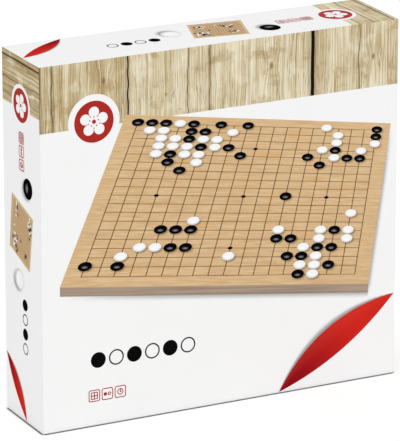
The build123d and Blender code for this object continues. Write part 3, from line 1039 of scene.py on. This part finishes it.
def made_up_game(count, seed):
    """Stones set one by one near earlier ones, black and white by turns: their crossings and tone."""
    pick = random.Random(seed)
    corners = [(3, 3), (15, 15), (3, 15), (15, 3), (9, 2), (12, 9)]
    steps = [(1, 0), (-1, 0), (0, 1), (0, -1), (1, 1), (-1, 1), (1, -1), (-1, -1)]
    steps += [(2, 0), (0, 2), (1, 2), (-2, -1)]
    placed = {}
    while len(placed) < count:
        if corners:
            spot = corners.pop()
        else:
            column, row = pick.choice(list(placed)[2:])
            step = pick.choice(steps)
            spot = (column + step[0], row + step[1])
        if spot not in placed and all(0 <= place < BOARD_LINES for place in spot):
            placed[spot] = len(placed) % 2
    return placed


def toned_points(name, places, tones):
    """Seed points for drawn stones, each with its tone: 0 black, 1 white."""
    mesh = bpy.data.meshes.new(name)
    mesh.from_pydata([(x, y, 0) for x, y in places], [], [])
    tone = mesh.attributes.new("tone", "FLOAT", "POINT")
    tone.data.foreach_set("value", [float(value) for value in tones])
    return mesh


def board_picture(inks, picture, edge, steps):
    """The drawn board's face in a mesh fine enough for its grain, and its front edge."""
    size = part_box("board_top_veneer")
    width, height = (size[1].x - size[0].x) / MM, (size[1].z - size[0].z) / MM
    row = steps + 1
    spots = [(i / steps, j / steps) for j in range(row) for i in range(row)]
    first = [j * row + i for j in range(steps) for i in range(steps)]
    faces = [(i, i + 1, i + row + 1, i + row) for i in first]
    local = [(u * width, v * height, 0) for u, v in spots]
    flat = [picture.point(u, v) for u, v in spots]
    inks.add(flat, faces, "board face", FACE_LAYER, local)
    upper = flat[:row]
    lower = [(s, t - edge) for s, t in upper]
    local = [(i / steps * width, high, 0) for high in (1, 0) for i in range(row)]
    inks.band(lower, upper, "board edge", FACE_LAYER, local)
    return lower


def drop_shadow(inks, line, shifts):
    """A soft shadow beside a line of the print, thinning away from it and at both ends."""
    faded = [(s + aside, t + up) for (s, t), (aside, up) in zip(line, shifts)]
    ends = [abs(2 * i / (len(line) - 1) - 1) ** 8 for i in range(len(line))]
    core = [(PICTURE_SHADE + (1 - PICTURE_SHADE) * end, 0, 0) for end in ends]
    inks.band(faded, line, "shade", SHADE_LAYER, [(1.0, 0, 0)] * len(line) + core)


def red_band(inks, start, top, rise, dip):
    """The red band across the lower right corner: two arcs that meet at both tips, and a shadow."""
    tips = (start, RED_INSET), (inks.panel.width - RED_INSET, top)
    upper, lower, shade = (bow(*tips, lift) for lift in (rise, -dip, rise * RED_SHADOW))
    last = len(upper) - 1
    local = [(i / last, side, 0) for side in (0, 1) for i in range(last + 1)]
    inks.band(lower, upper, "red", FACE_LAYER, local)
    local = [(far, 0, 0) for far in (RED_SHADE, 1.0) for _ in upper]
    inks.band(upper, shade, "shade", SHADE_LAYER, local)


def stone_row(inks, s, t, count, pitch, size, line):
    """Filled and outlined discs by turns, like the two sides' stones."""
    for i in range(count):
        centre = s + i * pitch
        if i % 2:
            inks.hoop(centre, t, size / 2, line, "black")
        else:
            inks.fill(circle(centre, t, size / 2), "black")


def stroke(inks, start, end, width, ink):
    """A straight printed line with square ends."""
    start, end = Vector(start), Vector(end)
    side = (end - start).orthogonal().normalized() * width / 2
    inks.fill([tuple(start - side), tuple(end - side), tuple(end + side), tuple(start + side)], ink)


def signs(inks, s, t, size, pitch, line):
    """Three small framed signs without words: a grid, two stones and a clock."""
    round_corner = size * 0.18
    for i in range(3):
        outer = rounded_square(s + i * pitch, t, size, round_corner)
        inner = rounded_square(s + i * pitch, t, size - 2 * line, round_corner - line)
        inks.ring(outer, inner, "seal")
    reach = size * 0.27
    for off in (-reach, 0, reach):
        stroke(inks, (s - reach, t + off), (s + reach, t + off), line, "seal")
        stroke(inks, (s + off, t - reach), (s + off, t + reach), line, "seal")
    stone = size * 0.15
    inks.fill(circle(s + pitch - stone * 1.15, t, stone, 20), "seal")
    inks.hoop(s + pitch + stone * 1.15, t, stone, line, "seal", 20)
    clock = s + 2 * pitch
    inks.hoop(clock, t, reach, line, "seal", 24)
    stroke(inks, (clock, t - line / 2), (clock, t + reach * 0.72), line, "seal")
    stroke(inks, (clock - line / 2, t), (clock + reach * 0.5, t), line, "seal")


def print_grown(name, kind, values, seeds=None):
    """Prints what a recipe makes on the lid, as a piece of its own."""
    add_piece(name, grow(name, RECIPE[kind], values, seeds), "lid")


def add_seal(panel, s, t, size):
    """A round seal on a panel, centred at a place."""
    half = size / 2
    drawn = plain_picture(panel, s - half, t - half, s + half, t + half).inputs()
    print_grown(f"{panel.name}_seal", "seal", {**drawn, "Petals": PETALS})


def add_board_print(panel, picture, game, line_width, margin, share):
    """The drawn board's lines and its stones on a panel."""
    pitch = (1 - 2 * margin) / (BOARD_LINES - 1)
    grid = {"Lines": BOARD_LINES, "Margin": margin, "Line width": line_width}
    grid["Star radius"] = pitch * STAR_SHARE
    print_grown(f"{panel.name}_grid", "grid", {**picture.inputs(), **grid})
    places = [(margin + pitch * column, margin + pitch * row) for column, row in game]
    seeds = toned_points(f"{panel.name}_seeds", places, game.values())
    stones = {"Radius": pitch * share, "Roundness": STONE_ROUNDNESS}
    print_grown(f"{panel.name}_stones", "stones", {**picture.inputs(), **stones}, seeds)


def print_front():
    """The large panel's print."""
    picture = Picture(FRONT, *PICTURE_CORNERS)
    inks = Inks(FRONT)
    foot = board_picture(inks, picture, PICTURE_EDGE, PICTURE_STEPS)
    side = [picture.point(1, i / PICTURE_STEPS) for i in range(PICTURE_STEPS + 1)]
    shifts = [SHADOW_BELOW] * len(foot) + [SHADOW_BESIDE] * len(side)
    drop_shadow(inks, foot + side, shifts)
    inks.fill(circle(*FRONT_SEAL_AT, FRONT_CLEARING / 2, 64), "white", GROUND_LAYER)
    stone_row(inks, *FRONT_ROW_AT, **FRONT_ROW)
    signs(inks, *FRONT_SIGNS_AT, **FRONT_SIGNS)
    red_band(inks, FRONT_RED_START, **FRONT_RED)
    inks.piece("front_print", "lid", "printed_paper")
    add_seal(FRONT, *FRONT_SEAL_AT, FRONT_SEAL_SIZE)
    game = made_up_game(PICTURE_STONES, PICTURE_SEED)
    add_board_print(FRONT, picture, game, PICTURE_LINE, PICTURE_MARGIN, STONE_SHARE)


def add_large_stones(panel, places):
    """Single drawn stones on a panel, each at a place and with a tone."""
    flat = [(s / SINGLE_UNIT, t / SINGLE_UNIT) for s, t, _ in places]
    seeds = toned_points(f"{panel.name}_places", flat, [tone for _, _, tone in places])
    drawn = plain_picture(panel, 0, 0, SINGLE_UNIT, SINGLE_UNIT).inputs()
    values = {**drawn, "Radius": SINGLE_SIZE / 2 / SINGLE_UNIT, "Roundness": 1.0}
    print_grown(f"{panel.name}_large_stones", "stones", values, seeds)


def print_strip(panel, seed):
    """A narrow side's print, read from its wood end."""
    inks = Inks(panel)
    middle = panel.height / 2
    inks.fill(circle(STRIP_SEAL_AT, middle, STRIP_CLEARING / 2, 48), "white", GROUND_LAYER)
    signs(inks, STRIP_SIGNS_AT, middle, **STRIP_SIGNS)
    add_large_stones(panel, [(s, middle + t, tone) for s, t, tone in STRIP_SINGLES])
    picture = Picture(panel, *((s, middle + t) for s, t in STRIP_CORNERS))
    board_picture(inks, picture, STRIP_EDGE, STRIP_STEPS)
    s, t = STRIP_ROW_AT
    stone_row(inks, s, middle + t, **STRIP_ROW)
    red_band(inks, panel.width - STRIP_RED_REACH, **STRIP_RED)
    inks.piece(f"{panel.name}_print", "lid", "printed_paper")
    add_seal(panel, STRIP_SEAL_AT, middle, STRIP_SEAL_SIZE)
    game = made_up_game(STRIP_STONES, seed)
    add_board_print(panel, picture, game, STRIP_LINE, STRIP_MARGIN, STRIP_STONE_SHARE)


# What is inside

def solid_boxes(node):
    """The middle and the size of each separate solid of a CAD node."""
    form = welded(node)
    boxes, seen = [], set()
    for first in form.verts:
        if first in seen:
            continue
        seen.add(first)
        group, open_ends = [], [first]
        while open_ends:
            vertex = open_ends.pop()
            group.append(vertex.co.copy())
            for edge in vertex.link_edges:
                other = edge.other_vert(vertex)
                if other not in seen:
                    seen.add(other)
                    open_ends.append(other)
        low = Vector([min(co[i] for co in group) for i in range(3)])
        high = Vector([max(co[i] for co in group) for i in range(3)])
        boxes.append(((low + high) / 2, high - low))
    form.free()
    return boxes


def fill_tub(colour, material, seed):
    """Smooth stones for a tub, one at each faceted one's place."""
    node = f"{colour}_stones"
    solids = solid_boxes(node)
    seeds = bpy.data.meshes.new(f"{colour}_seats")
    seeds.from_pydata([centre for centre, _ in solids], [], [])
    widest = max(size.x for _, size in solids)
    thickest = max(size.y for _, size in solids)
    inputs = {"Diameter": "Float", "Height": "Float", "Tilt": "Float", "Seed": "Int"}
    tree = recipe(f"{colour} stones", inputs, lambda g, start: tub_stones(g, start, material))
    values = {"Diameter": widest, "Height": thickest, "Tilt": math.radians(STONE_TILT), "Seed": seed}
    mesh = grow(f"polished_{node}", tree, values, seeds)
    add_piece(f"polished_{node}", mesh, f"{colour}_bowl", (), [node])


def facing_panel(name, low, high):
    """The front of a box between its lowest and its highest corner."""
    return Panel(name, low, (1, 0, 0), (0, 0, 1), high.x - low.x, high.z - low.z)


def rule_board():
    """The 19 by 19 grid on the real board's face."""
    low, high = (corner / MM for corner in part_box("board_top_veneer"))
    face = facing_panel("board", low, high)
    drawn = plain_picture(face, 0, 0, face.width, face.height).inputs()
    grid = {"Lines": BOARD_LINES, "Margin": BOARD_MARGIN, "Line width": BOARD_LINE}
    mesh = grow("board_grid", RECIPE["grid"], {**drawn, **grid, "Star radius": BOARD_STAR})
    add_piece("board_grid", mesh, "playing_board")


def print_booklet():
    """A plain cover design on the rules: a row of discs over two red foot lines."""
    low, high = (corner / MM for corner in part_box("rules_cover"))
    cover = facing_panel("booklet", low, high)
    inks = Inks(cover)
    reach = COVER_ROW["pitch"] * (COVER_ROW["count"] - 1) / 2
    row_height = cover.height * COVER_ROW_HEIGHT
    stone_row(inks, cover.width / 2 - reach, row_height, **COVER_ROW)
    for width, above in COVER_FOOT_LINES:
        t = cover.height * COVER_FOOT_HEIGHT + above
        stroke(inks, (COVER_LEFT, t), (cover.width - COVER_RIGHT, t), width, "seal")
    inks.piece("rules_print", "rules", "booklet_cover")


def dress_nodes():
    """A finish for every CAD node that stays in view."""
    finishes = {
        grey_board: ("lid_board", "base_board"),
        kraft_tape: ("lid_corner_stays", "base_corner_stays"),
        plain_paper: ("base_wrap",),
        formed_plastic: ("insert_tray",),
        fibre_core: ("board_core",),
        veneer: ("board_top_veneer", "board_bottom_veneer"),
        edge_wood: ("board_edge_strips",),
        booklet_cover: ("rules_cover",),
        booklet_paper: ("rules_pages",),
        staple_wire: ("rules_staples",),
        tub_plastic: ("black_tub", "black_tub_lid", "white_tub", "white_tub_lid"),
    }
    for paint, names in finishes.items():
        material = finish(paint.__name__.replace("_", " "), paint)
        for name in names:
            NODES[name].data.materials.clear()
            NODES[name].data.materials.append(material)


# Room and camera

def add_camera():
    """The photograph's view, aimed from the middle of the closed box."""
    azimuth, elevation = math.radians(CAMERA_AZIMUTH), math.radians(CAMERA_ELEVATION)
    back = Vector((
        math.sin(azimuth) * math.cos(elevation),
        -math.cos(azimuth) * math.cos(elevation),
        math.sin(elevation),
    ))
    turn = (-back).to_track_quat("-Z", "Y")
    right, up = turn @ Vector((1, 0, 0)), turn @ Vector((0, 1, 0))
    middle = (cad_box[0] + cad_box[1]) / 2
    aim = middle + (right * AIM_RIGHT + up * AIM_UP) * MM
    data = bpy.data.cameras.new("camera")
    data.lens, data.sensor_width = CAMERA_LENS, CAMERA_SENSOR
    data.clip_start, data.clip_end = CAMERA_CLIP
    camera = linked("camera", data)
    camera.rotation_mode = "QUATERNION"
    camera.location, camera.rotation_quaternion = aim + back * CAMERA_DISTANCE, turn
    bpy.context.scene.camera = camera


def seen_directly(g):
    """1 for what the camera sees straight, in gloss or through glass."""
    path = g.node("ShaderNodeLightPath")
    straight = g.math("MAXIMUM", path["Is Camera Ray"], path["Is Glossy Ray"])
    return g.math("MAXIMUM", straight, path["Is Transmission Ray"])


def add_room():
    """A white floor that keeps the soft shadow and has a painted contact shadow in the crease under
    the box, a white sky and one wide lamp.
    """
    mesh = bpy.data.meshes.new("floor")
    ends = (-FLOOR_REACH, FLOOR_REACH)
    mesh.from_pydata([(x, y, 0) for y in ends for x in ends], [], [(0, 1, 3, 2)])
    floor = linked("floor", mesh)
    paint = bpy.data.materials.new("floor")
    g = cleared(paint)
    # The floor's colour and glow are darkened where ambient occlusion finds the box near: a painted
    # contact shadow in the crease
    crease = g.node("ShaderNodeAmbientOcclusion", None, {"Distance": CREASE_REACH})["AO"]
    open_air = g.smooth(crease, *CREASE_SHADE)
    matt = g.node("ShaderNodeBsdfDiffuse", None, {"Color": g.mix(open_air, FLOOR_PAINTED_SHADE, FLOOR_WHITE)})
    light = g.mix(open_air, BLACK, WHITE)
    glow = g.node("ShaderNodeEmission", None, {"Color": light, "Strength": FLOOR_GLOW})
    share = seen_directly(g) * GLOW_SHARE
    mixed = g.node("ShaderNodeMixShader", None, {0: share, 1: matt, 2: glow})
    g.node("ShaderNodeOutputMaterial", None, {"Surface": mixed})
    mesh.materials.append(paint)

    world = bpy.data.worlds.new("sky")
    bpy.context.scene.world = world
    g = cleared(world)
    strength = SKY_STRENGTH + seen_directly(g) * (1 - SKY_STRENGTH)
    sky = g.node("ShaderNodeBackground", None, {"Color": WHITE, "Strength": strength})
    g.node("ShaderNodeOutputWorld", None, {"Surface": sky})

    lamp = bpy.data.lights.new("lamp", "SUN")
    lamp.energy, lamp.angle = SUN_STRENGTH, math.radians(SUN_SPREAD)
    sun = linked("lamp", lamp)
    sun.rotation_mode = "QUATERNION"
    sun.rotation_quaternion = Vector(SUN_FROM).to_track_quat("Z", "Y")


add_camera()
add_room()

FRONT, STRIPS = lid_panels()
PAINTS = (
    black_ink, line_ink, seal_ink, white_ink, red_ink, board_face_ink, board_edge_ink,
    shade_ink, black_stone_ink, white_stone_ink,
)
INK = {}
for paint in PAINTS:
    ink = paint.__name__.replace("_", " ")
    INK[ink.removesuffix(" ink")] = finish(ink, paint)
GRID_INPUTS = {"Lines": "Int", "Margin": "Float", "Line width": "Float", "Star radius": "Float"}
STONE_INPUTS = {"Radius": "Float", "Roundness": "Float"}
RECIPE = {
    "grid": recipe("ruled grid", {**ON_PAPER, **GRID_INPUTS}, ruled_grid),
    "stones": recipe("printed stones", {**ON_PAPER, **STONE_INPUTS}, printed_stones),
    "seal": recipe("blossom seal", {**ON_PAPER, "Petals": "Int"}, blossom_seal),
}

dress_nodes()
printed_lid()
print_front()
for order, strip in enumerate(STRIPS):
    print_strip(strip, STRIP_SEED + order)
rule_board()
print_booklet()
fill_tub("black", finish("black stone", black_stone), BLACK_SEED)
fill_tub("white", finish("white stone", white_stone), WHITE_SEED)

bpy.context.scene.view_settings.view_transform = "Standard"
